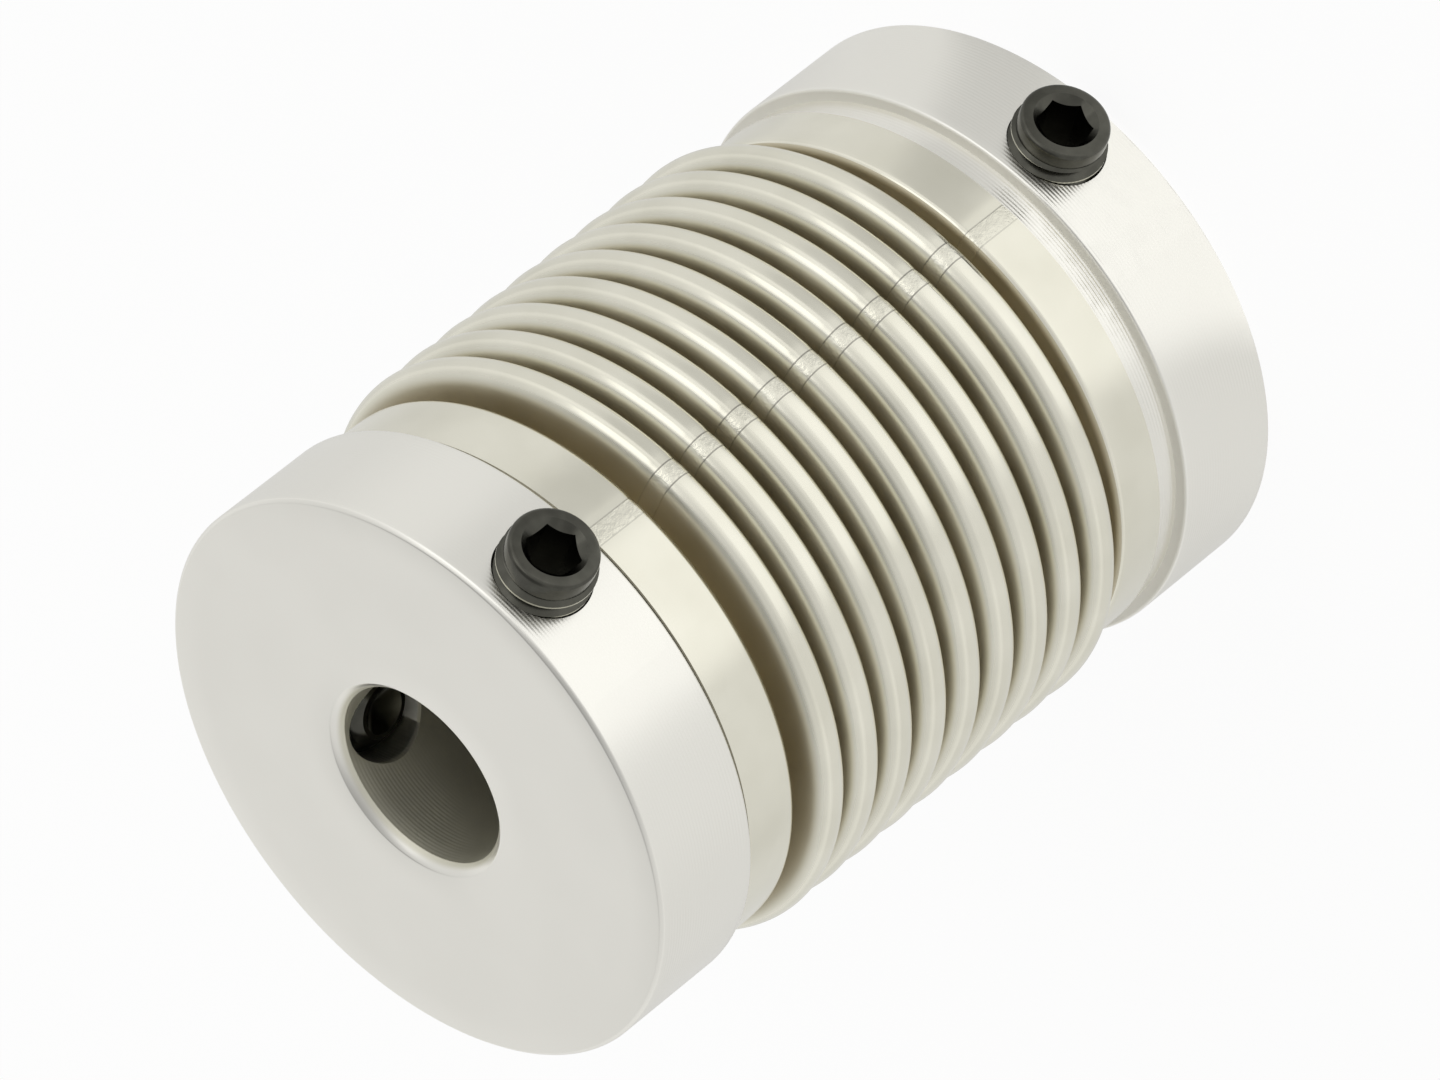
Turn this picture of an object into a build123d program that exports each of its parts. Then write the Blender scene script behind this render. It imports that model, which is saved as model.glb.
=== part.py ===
from build123d import *
import math
import os

# Bellows shaft coupling: two turned hubs, a formed metal bellows bonded between them,
# and two cup-point set screws in each hub.
#
# Frame: +Z along the shaft axis, origin at the centre of the lower hub's end face, on which
# the coupling stands. The upper hub's front screw looks along -Y. Millimetres and degrees.

# Driving dimensions
overall_length = 27.6
hub_diameter = 19.0
bore_diameter = 6.0
flange_width = 3.95            # full-diameter band of a hub, which carries its screws
screw_diameter = 3.0           # M3
screw_length = 6.0
bellows_diameter = 19.5        # over the crests
cuff_diameter = 18.4           # outside of the plain ends of the bellows
valley_diameter = 14.8
wall = 0.1                     # sheet thickness of the bellows
crest_count = 9
crest_pitch = 1.536

# Hub
hub_radius = hub_diameter / 2
bore_radius = bore_diameter / 2
spigot_gap = 0.02              # film of adhesive between spigot and cuff
spigot_radius = cuff_diameter / 2 - wall - spigot_gap
spigot_length = 1.5
hub_length = flange_width + spigot_length
bore_mouth_chamfer = 0.3
rim_chamfer = 0.12
edge_chamfer = 0.25            # on the edges that the bellows hides
shoulder_chamfer = 0.08        # where the flange meets the bellows

# Set screws
screw_radius = screw_diameter / 2
screw_height = 2.0             # from a hub's end face to its screws
screw_hole_gap = 0.05          # the thread is plain here, so the tapped hole is a running fit
screw_spacing = 120.0
front_screw_angle = -90.0      # on the upper hub
lower_hub_twist = 3.8          # how far the lower hub was turned when it was bonded
upper_standouts = (1.33, -0.47)        # of the front and the back screw from their hub
lower_standouts = (1.1, -0.47)         # a screw that is driven in stays just clear of the bore
head_chamfer = 0.2
point_radius = 0.9
point_length = 0.6
cup_radius = 0.75
cup_depth = 0.45
socket_across_flats = 1.5
socket_depth = 1.6
socket_lead_radius = 1.0

# Bellows, measured on the middle of its sheet
half_sheet = wall / 2
bellows_middle = 13.97         # height of the middle crest
crest_bend = 0.52
valley_bend = crest_pitch / 2 - crest_bend
shoulder_bend = 0.25           # where a cuff turns in towards the first valley
shoulder_height = 7.42         # from the middle crest to that flank
lower_end = 4.82 - bellows_middle      # leaves some of the lower spigot bare
upper_end = 23.42 - bellows_middle     # a fine open joint under the upper flange
cuff_radius = cuff_diameter / 2 - half_sheet
crest_centre = bellows_diameter / 2 - half_sheet - crest_bend
valley_floor = valley_diameter / 2 - half_sheet


def half_section(height, up=1):
    """Plane through the shaft axis, on the side away from the screws.

    Its x is the radius, and its y runs up the axis, or down it where up is -1.
    """
    return Plane(origin=(0, 0, height), x_dir=(-1, 0, 0), z_dir=(0, up, 0))


def around(radius, angle, height):
    """A point at a distance and an angle about the shaft axis."""
    turn = math.radians(angle)
    return (radius * math.cos(turn), radius * math.sin(turn), height)


def hub_section():
    """Half section of a hub: radius, then distance from its end face."""
    Polyline(
        (bore_radius, 0),
        (hub_radius, 0),
        (hub_radius, flange_width),
        (spigot_radius, flange_width),
        (spigot_radius, hub_length),
        (bore_radius, hub_length),
        close=True,
    )


def turned_hub(end_height, inwards, screw_angles):
    """A hub turned from bar, with its cross holes; inwards is 1 where it faces up."""
    with BuildPart() as hub:
        with BuildSketch(half_section(end_height, inwards)):
            with BuildLine():
                hub_section()
            make_face()
        revolve(axis=Axis.Z)

        # Six round edges, nearest to the middle of the end face first
        round_edges = hub.edges().filter_by(GeomType.CIRCLE)
        mouth, inner_mouth, rim, _, shoulder, nose = round_edges.sort_by_distance((0, 0, end_height))
        chamfer(mouth, bore_mouth_chamfer)
        chamfer(rim, rim_chamfer)
        chamfer([inner_mouth, nose], edge_chamfer)
        chamfer(shoulder, shoulder_chamfer)

        for angle in screw_angles:
            top = around(hub_radius, angle, end_height + inwards * screw_height)
            with Locations(Plane(origin=top, z_dir=around(1, angle, 0))):
                Hole(screw_radius + screw_hole_gap, depth=hub_radius)
    return hub.part


def set_screw(angle, height, standout):
    """A hexagon-socket set screw with a cup point; its head stands out of its hub by standout."""
    outwards = around(1, angle, 0)
    across = around(1, angle + 90, 0)
    top = around(hub_radius + standout, angle, height)
    with BuildPart() as screw:
        # Half section: radius, then height above the socket end
        with BuildSketch(Plane(origin=top, x_dir=(0, 0, 1), z_dir=across)):
            with BuildLine():
                Polyline(
                    (0, 0),
                    (screw_radius - head_chamfer, 0),
                    (screw_radius, -head_chamfer),
                    (screw_radius, point_length - screw_length),
                    (point_radius, -screw_length),
                    (cup_radius, -screw_length),
                    (0, cup_depth - screw_length),
                    close=True,
                )
            make_face()
        revolve(axis=Axis(top, outwards))

        with Locations(Plane(origin=top, z_dir=outwards)):
            CounterSinkHole(
                radius=socket_across_flats / 2,
                counter_sink_radius=socket_lead_radius,
                depth=socket_depth,
                counter_sink_angle=90,
            )
        with BuildSketch(Plane(origin=top, x_dir=(0, 0, 1), z_dir=outwards)):
            RegularPolygon(socket_across_flats / 2, side_count=6, major_radius=False)
        extrude(amount=-socket_depth, mode=Mode.SUBTRACT)
    return screw.part


def sheet_side(shift):
    """One side of the bellows' sheet in half section, so far outside the sheet's middle."""
    first_crest = (crest_count - 1) / 2 * crest_pitch
    end_valley_bend = (shoulder_height - first_crest - crest_bend) / 2
    shoulder_centre = cuff_radius - shoulder_bend
    bends = []

    def bend_out(radius, height, size, start, turn):
        bends.append(CenterArc((radius, height), size + shift, start, turn))

    def bend_in(height, size):
        bends.append(CenterArc((valley_floor + size, height), size - shift, -90, -180))

    bend_out(shoulder_centre, -shoulder_height - shoulder_bend, shoulder_bend, 0, 90)
    bend_in(-first_crest - crest_bend - end_valley_bend, end_valley_bend)
    for number in range(crest_count):
        height = number * crest_pitch - first_crest
        bend_out(crest_centre, height, crest_bend, -90, 180)
        if number < crest_count - 1:
            bend_in(height + crest_pitch / 2, valley_bend)
    bend_in(first_crest + crest_bend + end_valley_bend, end_valley_bend)
    bend_out(shoulder_centre, shoulder_height + shoulder_bend, shoulder_bend, -90, 90)

    for bend, following in zip(bends, bends[1:]):
        Line(bend @ 1, following @ 0)
    Line((cuff_radius + shift, lower_end), bends[0] @ 0)
    Line(bends[-1] @ 1, (cuff_radius + shift, upper_end))


with BuildPart() as bellows:
    with BuildSketch(half_section(bellows_middle)):
        with BuildLine():
            sheet_side(half_sheet)
            sheet_side(-half_sheet)
            for end in (lower_end, upper_end):
                Line((cuff_radius - half_sheet, end), (cuff_radius + half_sheet, end))
        make_face()
    revolve(axis=Axis.Z)
bellows.part.label = "bellows"

upper_angles = (front_screw_angle, front_screw_angle + screw_spacing)
lower_angles = [angle + lower_hub_twist for angle in upper_angles]

lower_hub = turned_hub(0, 1, lower_angles)
lower_hub.label = "lower_hub"

upper_hub = turned_hub(overall_length, -1, upper_angles)
upper_hub.label = "upper_hub"

pieces = [lower_hub, bellows.part, upper_hub]
for place, angle, standout in zip(("front", "back"), lower_angles, lower_standouts):
    screw = set_screw(angle, screw_height, standout)
    screw.label = f"lower_screw_{place}"
    pieces.append(screw)
for place, angle, standout in zip(("front", "back"), upper_angles, upper_standouts):
    screw = set_screw(angle, overall_length - screw_height, standout)
    screw.label = f"upper_screw_{place}"
    pieces.append(screw)

os.makedirs("parts", exist_ok=True)
for piece in pieces:
    export_step(piece, f"parts/{piece.label}.step")
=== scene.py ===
import math

import bpy
from mathutils import Matrix, Vector


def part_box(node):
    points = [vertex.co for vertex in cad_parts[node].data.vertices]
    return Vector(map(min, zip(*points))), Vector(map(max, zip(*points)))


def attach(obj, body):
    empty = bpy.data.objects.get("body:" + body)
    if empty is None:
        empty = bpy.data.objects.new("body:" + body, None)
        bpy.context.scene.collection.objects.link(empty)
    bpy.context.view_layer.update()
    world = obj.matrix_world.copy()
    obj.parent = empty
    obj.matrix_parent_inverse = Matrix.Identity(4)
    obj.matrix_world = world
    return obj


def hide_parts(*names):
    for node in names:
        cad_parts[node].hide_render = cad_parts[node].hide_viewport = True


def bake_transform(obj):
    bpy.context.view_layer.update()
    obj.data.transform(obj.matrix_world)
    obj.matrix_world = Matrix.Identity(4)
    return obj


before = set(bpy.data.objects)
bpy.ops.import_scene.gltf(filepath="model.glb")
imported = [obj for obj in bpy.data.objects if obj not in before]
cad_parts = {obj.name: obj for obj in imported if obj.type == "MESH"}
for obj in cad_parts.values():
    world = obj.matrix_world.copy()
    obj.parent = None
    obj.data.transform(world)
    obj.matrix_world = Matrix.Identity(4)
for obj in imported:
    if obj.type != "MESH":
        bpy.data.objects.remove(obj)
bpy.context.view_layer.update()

MM = 0.001

# ---------------------------------------------------------------- sizes, in metres
# The frame's +Z runs along the shaft axis; the coupling stands on its lower hub.

hub_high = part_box("lower_hub")[1]
bellows_low, bellows_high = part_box("bellows")
overall_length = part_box("upper_hub")[1].z
hub_radius = hub_high.x
hub_length = hub_high.z
crest_radius = bellows_high.x

bore_radius = 3.0 * MM
bore_mouth_chamfer = 0.3 * MM
flange_width = 3.95 * MM
rim_chamfer = 0.12 * MM
edge_chamfer = 0.25 * MM
shoulder_chamfer = 0.08 * MM
spigot_radius = 9.08 * MM
edge_rounding = 0.03 * MM

screw_radius = 1.5 * MM
screw_height = 2.0 * MM
screw_hole_radius = 1.53 * MM
drill_overshoot = 0.5 * MM          # how far outside the hub the drill starts
thread_pitch = 0.5 * MM

cuff_radius = 9.2 * MM
shoulder_round = 0.3 * MM
sheet_thickness = 0.1 * MM
crest_count = 9
crest_pitch = 1.536 * MM
crest_round = 0.57 * MM
valley_round = crest_pitch / 2 - crest_round
valley_radius = 7.4 * MM
bellows_middle = 13.97 * MM         # height of the middle crest
shoulder_face = 7.37 * MM           # from the middle crest to the flank of a cuff's shoulder
cuff_start = 8.0 * MM               # from the middle crest; a bend leaves the shoulder's flank inside
seam_half_width = 0.31 * MM
seam_angle = -90.34
score_half_width = 0.045 * MM       # of each groove beside the weld
score_depth = 0.02 * MM

hub_segments = 288                  # round the shaft axis
bellows_segments = 216
screw_segments = 64                 # round a screw and its hole
merge_distance = 0.002 * MM


# ---------------------------------------------------------------- modelling by hand

def deselect_everything():
    """Leave edit mode and let go of every object, before a new piece is made."""
    if bpy.context.object and bpy.context.object.mode != "OBJECT":
        bpy.ops.object.mode_set(mode="OBJECT")
    bpy.ops.object.select_all(action="DESELECT")


def towards(azimuth, elevation):
    """The direction with that azimuth and elevation, in degrees."""
    turn = math.radians(azimuth)
    rise = math.radians(elevation)
    return Vector((math.cos(turn) * math.cos(rise), math.sin(turn) * math.cos(rise), math.sin(rise)))


def start_section(name, radius, height):
    """A mesh of one point in the XZ plane, in edit mode: the start of a section."""
    deselect_everything()
    bpy.ops.mesh.primitive_plane_add(size=MM, location=(0, 0, 0))
    piece = bpy.context.object
    piece.name = name
    bpy.ops.object.mode_set(mode="EDIT")
    bpy.ops.mesh.select_all(action="SELECT")
    bpy.ops.mesh.merge(type="CENTER")
    bpy.ops.transform.translate(value=(radius, 0, height))
    return piece


def last_point(piece):
    """Where the section has got to."""
    piece.update_from_editmode()
    return next(v.co.copy() for v in piece.data.vertices if v.select)


def line_to(piece, radius, height, steps=1):
    """Draw the section straight to a point, in so many steps."""
    here = last_point(piece)
    step = (Vector((radius, 0, height)) - here) / steps
    for _ in range(steps):
        bpy.ops.mesh.extrude_region_move(TRANSFORM_OT_translate={"value": step})


def bend(centre_radius, centre_height, degrees, steps):
    """Carry the section on round a centre; positive turns from +X towards +Z."""
    bpy.ops.mesh.spin(
        steps=steps,
        angle=math.radians(degrees),
        center=(centre_radius, 0, centre_height),
        axis=(0, 1, 0),
        use_auto_merge=False,
    )


def turn_section(piece, segments):
    """Turn the drawn section once about the shaft axis, as on a lathe."""
    bpy.ops.mesh.select_all(action="SELECT")
    bpy.ops.mesh.spin(steps=segments, angle=math.tau, center=(0, 0, 0), axis=(0, 0, 1))
    bpy.ops.mesh.select_all(action="SELECT")
    bpy.ops.mesh.remove_doubles(threshold=merge_distance)
    bpy.ops.mesh.normals_make_consistent(inside=False)
    bpy.ops.object.mode_set(mode="OBJECT")
    return piece


def finish_with(piece, kind, **settings):
    """Add one modifier and apply it."""
    bpy.context.view_layer.objects.active = piece
    modifier = piece.modifiers.new(kind, kind)
    for name, value in settings.items():
        setattr(modifier, name, value)
    bpy.ops.object.modifier_apply(modifier=modifier.name)


def cut(piece, tool, operation="DIFFERENCE"):
    """Combine a piece with a tool body, and throw the tool away."""
    finish_with(piece, "BOOLEAN", object=tool, operation=operation, solver="EXACT")
    bpy.data.objects.remove(tool)


def smooth(piece, degrees=30):
    """Shade smooth across every edge that turns less than that."""
    deselect_everything()
    piece.select_set(True)
    bpy.context.view_layer.objects.active = piece
    bpy.ops.object.shade_smooth_by_angle(angle=math.radians(degrees), keep_sharp_edges=True)


def settle(piece, placement):
    """Put a piece in its place, with the place in its mesh."""
    deselect_everything()
    piece.select_set(True)
    bpy.context.view_layer.objects.active = piece
    piece.matrix_world = placement
    bpy.ops.object.transform_apply(location=True, rotation=True, scale=True)


def pointing_out(angle, radius, height):
    """Placement for a body drawn along +Z: its top at that radius, pointing away from the shaft."""
    turn = Matrix.Rotation(math.radians(angle), 4, "Z")
    tip_over = Matrix.Rotation(math.radians(90), 4, "Y")
    top = Matrix.Translation((radius, 0, height))
    return turn @ top @ tip_over


# ---------------------------------------------------------------- hubs

def hub_body(name, end_height, inwards, screw_angles):
    """A turned hub with rounded edges and its cross holes; inwards is 1 where it looks up."""
    def line(radius, depth, steps=1):
        line_to(hub, radius, end_height + inwards * depth, steps)

    hub = start_section(name, bore_radius, end_height + inwards * bore_mouth_chamfer)
    line(bore_radius + bore_mouth_chamfer, 0)
    line(hub_radius - rim_chamfer, 0, 6)
    line(hub_radius, rim_chamfer)
    line(hub_radius, flange_width - shoulder_chamfer, 12)
    line(hub_radius - shoulder_chamfer, flange_width)
    line(spigot_radius, flange_width)
    line(spigot_radius, hub_length - edge_chamfer, 2)
    line(spigot_radius - edge_chamfer, hub_length)
    line(bore_radius + edge_chamfer, hub_length, 4)
    line(bore_radius, hub_length - edge_chamfer)
    line(bore_radius, bore_mouth_chamfer, 8)
    turn_section(hub, hub_segments)
    finish_with(hub, "BEVEL", width=edge_rounding, segments=2, limit_method="ANGLE",
                angle_limit=math.radians(25))
    for angle in screw_angles:
        bpy.ops.mesh.primitive_cylinder_add(
            vertices=screw_segments, radius=screw_hole_radius, depth=hub_radius)
        drill = bpy.context.object
        middle = hub_radius / 2 + drill_overshoot
        settle(drill, pointing_out(angle, middle, end_height + inwards * screw_height))
        cut(hub, drill)
    smooth(hub)
    return hub


# ---------------------------------------------------------------- bellows

def bellows_half(name, cuff_end, direction, crests):
    """Half of the sheet, from a cuff's end to the bottom of a valley beside the middle.

    direction is -1 for the lower half and 1 for the upper one. The section runs from the
    cuff inwards, and is mirrored to its own end by direction.
    """
    def height(from_middle):
        return bellows_middle + direction * from_middle

    first_crest = (crest_count - 1) / 2 * crest_pitch
    end_valley = (shoulder_face - first_crest - crest_round) / 2
    crest_centre = crest_radius - crest_round

    sheet = start_section(name, cuff_radius, cuff_end)
    line_to(sheet, cuff_radius, height(shoulder_face + shoulder_round), 4)
    bend(cuff_radius - shoulder_round, height(shoulder_face + shoulder_round), -90 * direction, 8)
    line_to(sheet, valley_radius + end_valley, height(shoulder_face))
    bend(valley_radius + end_valley, height(shoulder_face - end_valley), 180 * direction, 12)
    for number in range(crests):
        crest = first_crest - number * crest_pitch
        line_to(sheet, crest_centre, height(crest + crest_round), 2)
        bend(crest_centre, height(crest), -180 * direction, 18)
        line_to(sheet, valley_radius + valley_round, height(crest - crest_round), 2)
        quarters = 1 if number == crests - 1 else 2         # the last valley stops at its floor
        valley = height(crest - crest_pitch / 2)
        bend(valley_radius + valley_round, valley, quarters * 90 * direction, quarters * 5)
    return turn_section(sheet, bellows_segments)


def score_seam(sheet):
    """Two fine grooves along the sheet, one each side of its butt weld, at -Y for now."""
    face_width = 1.2 * MM               # more than any face that a groove runs through
    deselect_everything()
    bpy.context.view_layer.objects.active = sheet
    for line in (-seam_half_width, seam_half_width):
        for offset in (line - score_half_width, line, line + score_half_width):
            for polygon in sheet.data.polygons:
                centre = polygon.center
                polygon.select = centre.y < 0 and abs(centre.x - offset) < face_width
            bpy.ops.object.mode_set(mode="EDIT")
            bpy.ops.mesh.select_mode(type="FACE")
            bpy.ops.mesh.bisect(plane_co=(offset, 0, 0), plane_no=(1, 0, 0))
            bpy.ops.object.mode_set(mode="OBJECT")

    bpy.ops.object.mode_set(mode="EDIT")
    bpy.ops.mesh.select_mode(type="VERT")
    bpy.ops.object.mode_set(mode="OBJECT")
    for vertex in sheet.data.vertices:
        off_line = abs(abs(vertex.co.x) - seam_half_width)
        vertex.select = vertex.co.y < 0 and off_line < score_half_width / 4
    bpy.ops.object.mode_set(mode="EDIT")
    bpy.ops.transform.shrink_fatten(value=-score_depth)
    bpy.ops.object.mode_set(mode="OBJECT")


def finished_bellows(name, cuff_end, direction, crests):
    """Half of the bellows, scored beside its weld, turned to its place and with its thickness."""
    sheet = bellows_half(name, cuff_end, direction, crests)
    score_seam(sheet)
    settle(sheet, Matrix.Rotation(math.radians(seam_angle + 90), 4, "Z"))
    finish_with(sheet, "SOLIDIFY", thickness=sheet_thickness, offset=-1)
    smooth(sheet, 40)
    return sheet


# ---------------------------------------------------------------- set screws

screw_length = 6.0 * MM
thread_depth = 0.307 * MM
thread_steps = 48                   # in one turn
crest_flat = thread_pitch / 8
flank = thread_depth * math.tan(math.radians(30))
root_flat = thread_pitch - crest_flat - 2 * flank
blank_radius = 1.02 * screw_radius  # clear of the thread
bar_spare = 0.3 * MM                # by which the threaded bar is longer than the blank, at each end
plain_end = 0.55 * MM               # the stretch at the socket that has no thread
runout = 0.14 * MM                  # where the thread fades out beside it
runout_radius = 0.9 * screw_radius
head_overlap = 0.12 * MM            # of the plain end into the thread
head_radius = 1.38 * MM
head_rounding = 0.16 * MM
socket_lead_radius = 1.0 * MM
socket_corner_radius = 0.75 * MM / math.cos(math.radians(30))
socket_depth = 1.6 * MM
point_radius = 0.9 * MM
point_length = 0.6 * MM
cup_radius = 0.75 * MM
cup_depth = 0.45 * MM
above_mouth = 0.1 * MM              # by which the socket's mouth is cut from outside the screw
crest_margin = 0.01 * MM            # what is this near to the outside is a thread's crest
all_over, socket_and_point, thread_crests = range(3)        # material slots of a screw


def threaded_bar(name, start):
    """A bar with a thread along it, longer than the screw at both ends; start turns the thread."""
    foot = -screw_length - 2 * thread_pitch
    bar = start_section(name, screw_radius, foot)
    line_to(bar, screw_radius, foot + crest_flat)
    line_to(bar, screw_radius - thread_depth, last_point(bar).z + flank)
    line_to(bar, screw_radius - thread_depth, last_point(bar).z + root_flat)
    line_to(bar, screw_radius, last_point(bar).z + flank)
    bpy.ops.object.mode_set(mode="OBJECT")
    turns = int(screw_length / thread_pitch) + 4
    finish_with(bar, "SCREW", angle=math.tau, screw_offset=thread_pitch, iterations=turns,
                steps=thread_steps, render_steps=thread_steps, axis="Z", use_merge_vertices=True)
    bpy.ops.object.mode_set(mode="EDIT")
    bpy.ops.mesh.select_all(action="SELECT")
    bpy.ops.mesh.remove_doubles(threshold=merge_distance / 2)
    for height, outwards in ((bar_spare - plain_end, 1), (-screw_length - bar_spare, -1)):
        bpy.ops.mesh.select_all(action="SELECT")
        bpy.ops.mesh.bisect(plane_co=(0, 0, height), plane_no=(0, 0, outwards),
                            use_fill=True, clear_outer=True)
    bpy.ops.mesh.select_all(action="SELECT")
    bpy.ops.mesh.normals_make_consistent(inside=False)
    bpy.ops.transform.rotate(value=math.radians(start), orient_axis="Z", center_override=(0, 0, 0))
    bpy.ops.object.mode_set(mode="OBJECT")
    return bar


def screw_blank():
    """The outside of the screw's threaded stretch and its cup point, which trims the bar."""
    blank = start_section("screw_blank", 0, -plain_end)
    line_to(blank, runout_radius, -plain_end)
    line_to(blank, blank_radius, -plain_end - runout)
    line_to(blank, blank_radius, point_length - screw_length)
    line_to(blank, point_radius, -screw_length)
    line_to(blank, cup_radius, -screw_length)
    line_to(blank, 0, cup_depth - screw_length)
    return turn_section(blank, screw_segments)


def screw_head():
    """The plain end that carries the socket."""
    head = start_section("screw_head", 0, 0)
    line_to(head, head_radius - head_rounding, 0)
    bend(head_radius - head_rounding, -head_rounding, -90, 4)
    line_to(head, head_radius, -plain_end - head_overlap)
    line_to(head, 0, -plain_end - head_overlap)
    return turn_section(head, screw_segments)


def cut_socket(screw, hexagon):
    """A hexagon socket with a countersunk mouth; hexagon turns it."""
    deselect_everything()
    bpy.ops.mesh.primitive_cylinder_add(vertices=6, radius=socket_corner_radius, depth=2 * socket_depth)
    key = bpy.context.object
    settle(key, Matrix.Rotation(math.radians(hexagon), 4, "Z"))
    # the socket's walls take the darker oxide, a painted shade
    for polygon in key.data.polygons:
        polygon.material_index = socket_and_point
    mouth = start_section("socket_mouth", 0, -socket_lead_radius)
    line_to(mouth, socket_lead_radius + above_mouth, above_mouth)
    line_to(mouth, 0, above_mouth)
    turn_section(mouth, screw_segments)
    cut(screw, key)
    cut(screw, mouth)


def set_screw(name, angle, reach, height, hexagon, start):
    """An M3 set screw; hexagon turns its socket and start its thread."""
    screw = threaded_bar(name, start)
    for material in (oxide, painted_shade_oxide, rubbed_oxide_and_highlight):
        screw.data.materials.append(material)
    for polygon in screw.data.polygons:
        # the thread's crests take the light oxide: worn bare in part, and for the rest a painted highlight
        on_crest = polygon.center.xy.length > screw_radius - crest_margin
        polygon.material_index = thread_crests if on_crest else all_over
    blank = screw_blank()
    for polygon in blank.data.polygons:
        # the cup point takes the darker oxide too, a painted shade
        at_point = polygon.center.z < point_length - screw_length
        polygon.material_index = socket_and_point if at_point else all_over
    cut(screw, blank, "INTERSECT")
    cut(screw, screw_head(), "UNION")
    cut_socket(screw, hexagon)
    settle(screw, pointing_out(angle, reach, height))
    smooth(screw, 28)
    return screw


# ---------------------------------------------------------------- materials

def new_material(name, **fixed):
    """A material with its fixed values on the shader's own sockets."""
    material = bpy.data.materials.new(name)
    material.use_nodes = True
    shader = material.node_tree.nodes["Principled BSDF"]
    for socket, value in fixed.items():
        shader.inputs[socket.replace("_", " ")].default_value = value
    return material, shader


def node(owner, kind, values=None, **settings):
    """A node with some of its settings and input values."""
    made = owner.node_tree.nodes.new(kind)
    for name, value in settings.items():
        setattr(made, name, value)
    for socket, value in (values or {}).items():
        made.inputs[socket].default_value = value
    return made


def math_node(owner, operation, first, second=None):
    """A Math node on one or two values, each a number or another node's output."""
    made = node(owner, "ShaderNodeMath", operation=operation)
    for socket, value in zip(made.inputs, (first, second)):
        if value is None:
            continue
        if isinstance(value, (int, float)):
            socket.default_value = value
        else:
            owner.node_tree.links.new(value, socket)
    return made.outputs[0]


def product(owner, *values):
    """All the values multiplied."""
    result = values[0]
    for value in values[1:]:
        result = math_node(owner, "MULTIPLY", result, value)
    return result


def total(owner, *values):
    """All the values added up."""
    result = values[0]
    for value in values[1:]:
        result = math_node(owner, "ADD", result, value)
    return result


def size_of(owner, value):
    """A value without its sign."""
    return math_node(owner, "ABSOLUTE", value)


def ease(owner, value, low, high, at_low, at_high):
    """A smooth step from one value to another while the input goes from low to high."""
    step = node(owner, "ShaderNodeMapRange", interpolation_type="SMOOTHSTEP")
    for socket, setting in zip(("From Min", "From Max", "To Min", "To Max"), (low, high, at_low, at_high)):
        step.inputs[socket].default_value = setting
    owner.node_tree.links.new(value, step.inputs["Value"])
    return step.outputs["Result"]


def noise(owner, place, scale, detail, **settings):
    """Soft random patches, so many to the metre."""
    patches = node(owner, "ShaderNodeTexNoise", {"Scale": scale, "Detail": detail, **settings})
    owner.node_tree.links.new(place, patches.inputs["Vector"])
    return patches.outputs["Fac"]


def coordinates(owner, vector):
    """The x, y and z of a vector."""
    parts = node(owner, "ShaderNodeSeparateXYZ")
    owner.node_tree.links.new(vector, parts.inputs[0])
    return parts.outputs


def distance_from_axis(owner, x, y):
    """How far a point is from the shaft axis."""
    return math_node(owner, "SQRT", total(owner, product(owner, x, x), product(owner, y, y)))


def looks_along_axis(owner, limit):
    """1 where the surface looks up or down the shaft axis, else 0."""
    normal = coordinates(owner, node(owner, "ShaderNodeNewGeometry").outputs["Normal"])
    return math_node(owner, "GREATER_THAN", size_of(owner, normal[2]), limit)


def tinted(owner, colour, amount, other):
    """A colour, plain or from a node, that goes over to another one by an amount from 0 to 1."""
    mix = node(owner, "ShaderNodeMix", data_type="RGBA")
    mix.inputs["B"].default_value = other
    owner.node_tree.links.new(amount, mix.inputs["Factor"])
    if isinstance(colour, tuple):
        mix.inputs["A"].default_value = colour
    else:
        owner.node_tree.links.new(colour, mix.inputs["A"])
    return mix.outputs["Result"]


def two_tones(owner, amount, low, dark, high, light):
    """A colour that goes from dark to light while the amount goes from low to high."""
    ramp = node(owner, "ShaderNodeValToRGB")
    for element, position, colour in zip(ramp.color_ramp.elements, (low, high), (dark, light)):
        element.position = position
        element.color = colour
    owner.node_tree.links.new(amount, ramp.inputs["Fac"])
    return ramp.outputs["Color"]


def roughen(owner, shader, height, strength, distance):
    """Bump the surface by a height."""
    bump = node(owner, "ShaderNodeBump", {"Strength": strength, "Distance": distance})
    owner.node_tree.links.new(height, bump.inputs["Height"])
    owner.node_tree.links.new(bump.outputs["Normal"], shader.inputs["Normal"])


clear_aluminium = (0.93, 0.915, 0.85, 1)
# the colour in the bore is a painted shade
painted_shade_in_bore = (0.76, 0.74, 0.63, 1)
feed = 0.12 * MM                    # of the turning tool, for each turn
streaks_middle = -2.4 * MM          # along X, left of the front screws
bright_depth = 3.0 * MM             # from an end face; what faces along the axis is dull further in


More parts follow.
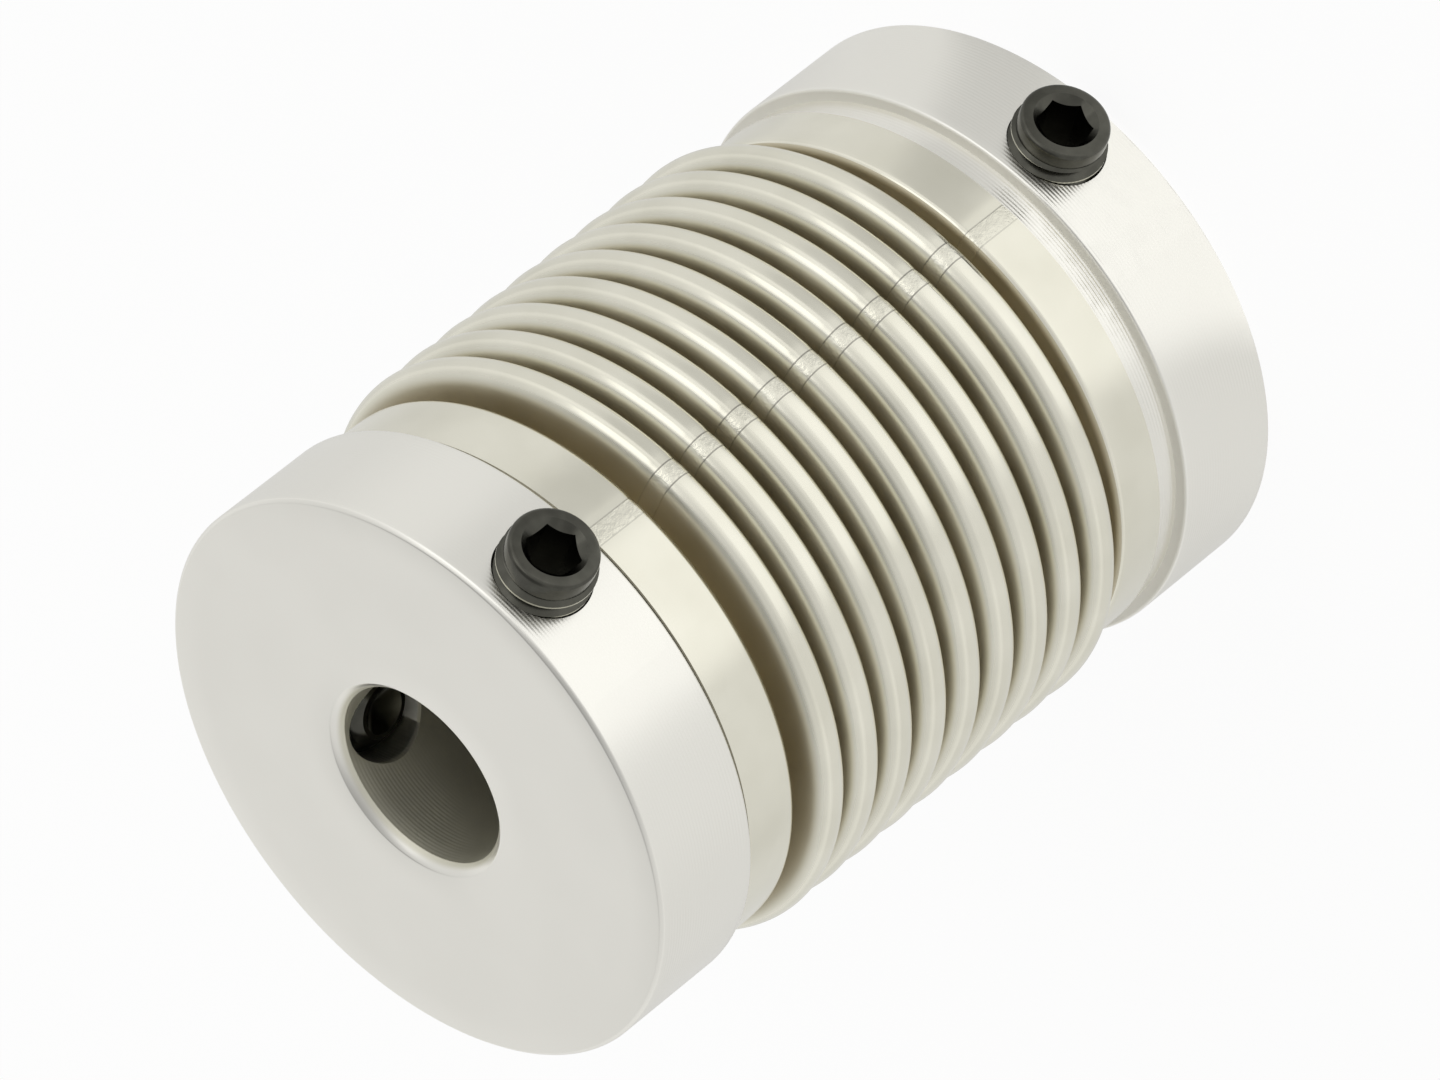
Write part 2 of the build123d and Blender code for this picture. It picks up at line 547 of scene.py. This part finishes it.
def feed_marks(material, place, cloud):
    """The height of a fine ridge for each turn of the lathe.

    The ridges are uneven, and worn in patches. They stand out in broken streaks beside the
    front screws, most of all on the lower hub.
    """
    x, y, z = coordinates(material, place)
    wave = math_node(material, "SINE", product(material, z, math.tau / feed))
    lines = node(material, "ShaderNodeTexNoise", {"Scale": 2600.0, "Detail": 1.0}, noise_dimensions="1D")
    material.node_tree.links.new(z, lines.inputs["W"])
    marks = total(material, product(material, wave, 0.6), lines.outputs["Fac"])

    worn_in = ease(material, cloud, 0.4, 0.65, 0.4, 1.0)
    aside = size_of(material, math_node(material, "SUBTRACT", x, streaks_middle))
    beside_screw = product(material, ease(material, aside, 0.8 * MM, 3.6 * MM, 1.0, 0.0),
                           math_node(material, "LESS_THAN", y, 0.0))
    by_hub = ease(material, z, hub_length, overall_length - hub_length, 2.2, 0.4)
    broken = ease(material, noise(material, place, 1500.0, 2.0), 0.35, 0.65, 0.4, 1.0)
    strength = total(material, product(material, worn_in, 0.6),
                     product(material, beside_screw, by_hub, broken))
    return product(material, marks, strength)


def turned_aluminium():
    """Clear aluminium off the lathe: feed marks round the flange, a plain faced end."""
    material, shader = new_material("turned_aluminium", Metallic=1.0)
    link = material.node_tree.links.new
    place = node(material, "ShaderNodeTexCoord").outputs["Object"]
    x, y, z = coordinates(material, place)
    cloud = noise(material, place, 300.0, 2.0)
    is_face = looks_along_axis(material, 0.7)
    on_flange = math_node(material, "SUBTRACT", 1.0, is_face)
    marks = product(material, feed_marks(material, place, cloud), on_flange)
    roughen(material, shader, marks, 0.5, 0.009 * MM)

    # darker in the bore, a painted shade, and duller there and on the shoulder that faces the bellows
    in_bore = ease(material, distance_from_axis(material, x, y),
                   bore_radius + 0.05 * MM, bore_radius + 0.2 * MM, 1.0, 0.0)
    link(tinted(material, clear_aluminium, in_bore, painted_shade_in_bore), shader.inputs["Base Color"])
    outside = ease(material, cloud, 0.3, 0.7, 0.285, 0.34)
    from_middle = size_of(material, math_node(material, "SUBTRACT", z, overall_length / 2))
    off_end = math_node(material, "LESS_THAN", from_middle, overall_length / 2 - bright_depth)
    on_shoulder = product(material, is_face, off_end)
    link(total(material, outside, product(material, in_bore, 0.2), product(material, on_shoulder, 0.4)),
         shader.inputs["Roughness"])
    return material


light_steel = (0.87, 0.85, 0.735, 1)
dark_steel = (0.79, 0.77, 0.655, 1)
# the painted shade deep in the folds
painted_shade_in_folds = (0.55, 0.465, 0.29, 1)
steel_in_score = (0.30, 0.29, 0.25, 1)
# painted shade on the cut ends of the sheet
painted_shade_at_cut_end = (0.28, 0.265, 0.21, 1)


def weld_marks(material, x, y, radius):
    """Where the scored lines and the strip between them are; both run along the sheet in front."""
    turned = math.radians(seam_angle + 90)
    aside = total(material, product(material, x, math.cos(turned)), product(material, y, math.sin(turned)))
    off_middle = size_of(material, aside)
    off_line = size_of(material, math_node(material, "SUBTRACT", off_middle, seam_half_width))
    in_front = math_node(material, "LESS_THAN", y, 0.0)
    fainter_on_cuffs = ease(material, radius, cuff_radius + 0.05 * MM, cuff_radius + 0.2 * MM, 0.4, 1.0)
    line = product(material, in_front, fainter_on_cuffs,
                   ease(material, off_line, 0.01 * MM, 0.035 * MM, 0.8, 0.0))
    strip = product(material, in_front,
                    ease(material, off_middle, seam_half_width - 0.02 * MM, seam_half_width, 1.0, 0.0))
    return line, strip


def formed_steel():
    """Stainless sheet as it comes from the forming rolls, with the marks of its butt weld."""
    material, shader = new_material("formed_steel", Metallic=1.0)
    link = material.node_tree.links.new
    place = node(material, "ShaderNodeTexCoord").outputs["Object"]
    x, y, z = coordinates(material, place)
    radius = distance_from_axis(material, x, y)
    patches = noise(material, place, 420.0, 3.0)
    line, strip = weld_marks(material, x, y, radius)
    colour = tinted(material, two_tones(material, patches, 0.3, dark_steel, 0.7, light_steel),
                    line, steel_in_score)

    # the cut ends of the sheet, painted dark as the shade under the hubs' flanges
    from_middle = size_of(material, math_node(material, "SUBTRACT", z, bellows_middle))
    on_cuff = math_node(material, "GREATER_THAN", from_middle, cuff_start)
    cut_end_shade = product(material, looks_along_axis(material, 0.8), on_cuff)
    colour = tinted(material, colour, cut_end_shade, painted_shade_at_cut_end)

    # the deeper the folds go, the duller they are and the browner their painted shade
    in_folds = math_node(material, "LESS_THAN", from_middle, shoulder_face + sheet_thickness)
    depth = math_node(material, "SUBTRACT", crest_radius, radius)
    painted_fold_shade = product(material, in_folds, ease(material, depth, 0.17 * MM, 0.85 * MM, 0.0, 0.6))
    link(tinted(material, colour, painted_fold_shade, painted_shade_in_folds), shader.inputs["Base Color"])
    polish = ease(material, patches, 0.3, 0.7, 0.17, 0.24)
    dull = product(material, in_folds, ease(material, depth, 0.09 * MM, 0.55 * MM, 0.0, 0.38))
    link(total(material, polish, dull, product(material, strip, 0.03)), shader.inputs["Roughness"])

    # a fine grain all over, and crinkles a hundred times as deep along the weld
    grain = noise(material, place, 9000.0, 4.0, Roughness=0.6)
    crinkles = noise(material, place, 5200.0, 3.0, Roughness=0.7)
    height = total(material, grain, product(material, strip, crinkles, 100.0))
    roughen(material, shader, height, 1.0, 0.00024 * MM)
    return material


def black_oxide(name, tone, roughness=0.22):
    """Oiled black steel; tone is how light it is."""
    warm = Vector((1.0, 0.985, 0.83)) * tone
    material, shader = new_material(name, Metallic=1.0, Roughness=roughness)
    place = node(material, "ShaderNodeTexCoord").outputs["Object"]
    grain = noise(material, place, 2600.0, 4.0)
    colour = two_tones(material, grain, 0.35, (*warm * 0.88, 1), 0.75, (*warm * 1.15, 1))
    material.node_tree.links.new(colour, shader.inputs["Base Color"])
    roughen(material, shader, grain, 0.2, 0.005 * MM)
    return material


# ---------------------------------------------------------------- the coupling

front_angle = -90.0
screw_spacing = 120.0
lower_twist = 3.8                   # how far the lower hub was turned when it was bonded
upper_angles = (front_angle, front_angle + screw_spacing)
lower_angles = tuple(angle + lower_twist for angle in upper_angles)

aluminium = turned_aluminium()
steel = formed_steel()
oxide = black_oxide("black_oxide", 0.09)
# lighter for the thread's crests: partly wear, partly a painted highlight
rubbed_oxide_and_highlight = black_oxide("rubbed_oxide_and_highlight", 0.45, 0.15)
# darker still, a painted shade in the socket and on the cup point
painted_shade_oxide = black_oxide("painted_shade_oxide", 0.075)

for node_name, end_height, inwards, angles in (
    ("lower_hub", 0, 1, lower_angles),
    ("upper_hub", overall_length, -1, upper_angles),
):
    hub = hub_body("turned_" + node_name, end_height, inwards, angles)
    hub.data.materials.append(aluminium)
    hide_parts(node_name)
    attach(hub, node_name)

split_height = bellows_middle - crest_pitch / 2
sheet_halves = (
    ("bellows_lower_half", bellows_low.z, -1, 4, "lower_hub", "bellows",
     bellows_middle - shoulder_face, split_height),
    ("bellows_upper_half", bellows_high.z, 1, 5, "bellows", "upper_hub",
     split_height, bellows_middle + shoulder_face),
)
for name, cuff_end, direction, crests, below, above, start, end in sheet_halves:
    sheet = finished_bellows(name, cuff_end, direction, crests)
    sheet.data.materials.append(steel)
    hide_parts("bellows")
    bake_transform(sheet)

# each thread starts at an angle where its cut ends come out closed
for hub_name, height, angles, hexagons, starts in (
    ("lower", screw_height, lower_angles, (37.4, 50), (40, 93)),
    ("upper", overall_length - screw_height, upper_angles, (26.5, 40), (183, 200)),
):
    for place, angle, hexagon, start in zip(("front", "back"), angles, hexagons, starts):
        node_name = f"{hub_name}_screw_{place}"
        out = towards(angle, 0)
        reach = max(v.co.dot(out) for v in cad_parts[node_name].data.vertices)
        screw = set_screw("threaded_" + node_name, angle, reach, height, hexagon, start)
        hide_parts(node_name)
        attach(screw, node_name)


# ---------------------------------------------------------------- floor, light and camera

def near_to(owner, direction, centre, spread, at_centre, outside, inner=0.0):
    """A value that is at_centre within inner degrees of a direction, and outside past spread."""
    facing = node(owner, "ShaderNodeVectorMath", operation="DOT_PRODUCT")
    facing.inputs[1].default_value = centre
    owner.node_tree.links.new(direction, facing.inputs[0])
    far = math.cos(math.radians(spread))
    near = math.cos(math.radians(inner))
    return ease(owner, facing.outputs["Value"], far, near, outside, at_centre)


def brightness_round_about(owner, direction, lobes):
    """How bright the studio is in each compass direction.

    Each lobe has an azimuth, a half width and a softness in degrees, and what it adds.
    """
    flat = node(owner, "ShaderNodeVectorMath", operation="MULTIPLY")
    flat.inputs[1].default_value = (1, 1, 0)
    owner.node_tree.links.new(direction, flat.inputs[0])
    unit = node(owner, "ShaderNodeVectorMath", operation="NORMALIZE")
    owner.node_tree.links.new(flat.outputs["Vector"], unit.inputs[0])
    brightness = room_brightness
    for azimuth, half_width, softness, gain in lobes:
        lobe = near_to(owner, unit.outputs["Vector"], towards(azimuth, 0), half_width + softness,
                       gain, 0.0, half_width - softness / 2)
        brightness = total(owner, lobe, brightness)
    return brightness


room_brightness = 0.845
dim_sides = ((25, 20, 30, -0.085), (130, 25, 40, -0.07))
lobes_on_the_table = dim_sides + (
    (-109, 25, 9, 0.325),       # lit by a window
    (-64, 5, 13, -0.18),        # the shadow beside it
)
lobes_above_it = dim_sides + (
    (-50, 22, 14, 0.07),        # a pale screen
    (-140, 24, 18, -0.11),      # a grey one
)


def pale_floor():
    """Plain white paper that keeps the shadow, and that metal reflects as a lit table."""
    deselect_everything()
    bpy.ops.mesh.primitive_plane_add(size=2.0, location=(0, 0, 0))
    floor = bpy.context.object
    floor.name = "floor"
    paper, shader = new_material("pale_floor", Base_Color=(0.92, 0.92, 0.91, 1), Roughness=0.9)
    link = paper.node_tree.links.new
    ray = node(paper, "ShaderNodeLightPath").outputs
    underfoot = node(paper, "ShaderNodeTexCoord").outputs["Object"]
    distance = node(paper, "ShaderNodeVectorMath", operation="LENGTH")
    link(underfoot, distance.inputs[0])
    # the paper glows dimmer close to the coupling, a painted shadow in what metal reflects
    painted_shadow_close_by = ease(paper, distance.outputs["Value"], 10.0 * MM, 24.0 * MM, 0.94, 1.0)
    reflected = product(paper, brightness_round_about(paper, underfoot, lobes_on_the_table), painted_shadow_close_by)

    # white to the camera, and as bright to metal as the studio is on that side
    strength = node(paper, "ShaderNodeMix", {"A": 1.04}, data_type="FLOAT")
    link(ray["Is Glossy Ray"], strength.inputs["Factor"])
    link(reflected, strength.inputs["B"])
    white = node(paper, "ShaderNodeEmission", {"Color": (1, 1, 1, 1)})
    link(strength.outputs["Result"], white.inputs["Strength"])
    # mostly glowing, and for the rest lit, which keeps the shadow
    glows = math_node(paper, "MAXIMUM", ray["Is Camera Ray"], ray["Is Glossy Ray"])
    lit = node(paper, "ShaderNodeMixShader")
    link(product(paper, glows, 0.87), lit.inputs[0])
    link(shader.outputs[0], lit.inputs[1])
    link(white.outputs[0], lit.inputs[2])
    link(lit.outputs[0], paper.node_tree.nodes["Material Output"].inputs[0])
    floor.data.materials.append(paper)


def studio_light():
    """An even white room, a little darker overhead and towards its open side."""
    world = bpy.data.worlds.new("studio")
    bpy.context.scene.world = world
    world.use_nodes = True
    sky = world.node_tree.nodes["Background"]
    sky.inputs["Color"].default_value = (1, 1, 1, 1)
    looking = node(world, "ShaderNodeTexCoord").outputs["Generated"]
    upwards = coordinates(world, looking)[2]
    above_horizon = ease(world, upwards, 0.12, 0.42, 1.1, 0.92)
    ceiling = ease(world, upwards, 0.62, 0.97, 1.0, 0.45)
    open_side = Vector((-0.21, -0.81, 0.55)).normalized()
    opening = near_to(world, looking, open_side, spread=16, at_centre=0.92, outside=1.0, inner=4)
    strength = product(world, brightness_round_about(world, looking, lobes_above_it),
                       above_horizon, opening, ceiling)
    world.node_tree.links.new(strength, sky.inputs["Strength"])


def softbox(name, azimuth, elevation, distance, size, power):
    """An area lamp that looks at the coupling's middle."""
    direction = towards(azimuth, elevation)
    middle = Vector((0, 0, overall_length / 2))
    bpy.ops.object.light_add(type="AREA", location=middle + direction * distance)
    lamp = bpy.context.object
    lamp.name = name
    lamp.data.size = size
    lamp.data.energy = power
    lamp.rotation_euler = direction.to_track_quat("Z", "Y").to_euler()


pale_floor()
studio_light()
softbox("key_light", azimuth=-55, elevation=38, distance=0.5, size=0.3, power=0.15)

camera_azimuth = -104.564
camera_elevation = 33.607
camera_distance = 395.67 * MM
camera_roll = 128.359
aim = Vector((0.0116, 0.1341, 13.9996)) * MM

direction = towards(camera_azimuth, camera_elevation)
bpy.ops.object.camera_add(location=aim + direction * camera_distance)
camera = bpy.context.object
upright = direction.to_track_quat("Z", "Y")
roll = Matrix.Rotation(math.radians(-camera_roll), 3, "Z")
camera.rotation_euler = (upright.to_matrix() @ roll).to_euler()
camera.data.lens = 335.18
camera.data.sensor_width = 36.0
camera.data.clip_start = 0.01
bpy.context.scene.camera = camera
bpy.context.scene.view_settings.view_transform = "Standard"
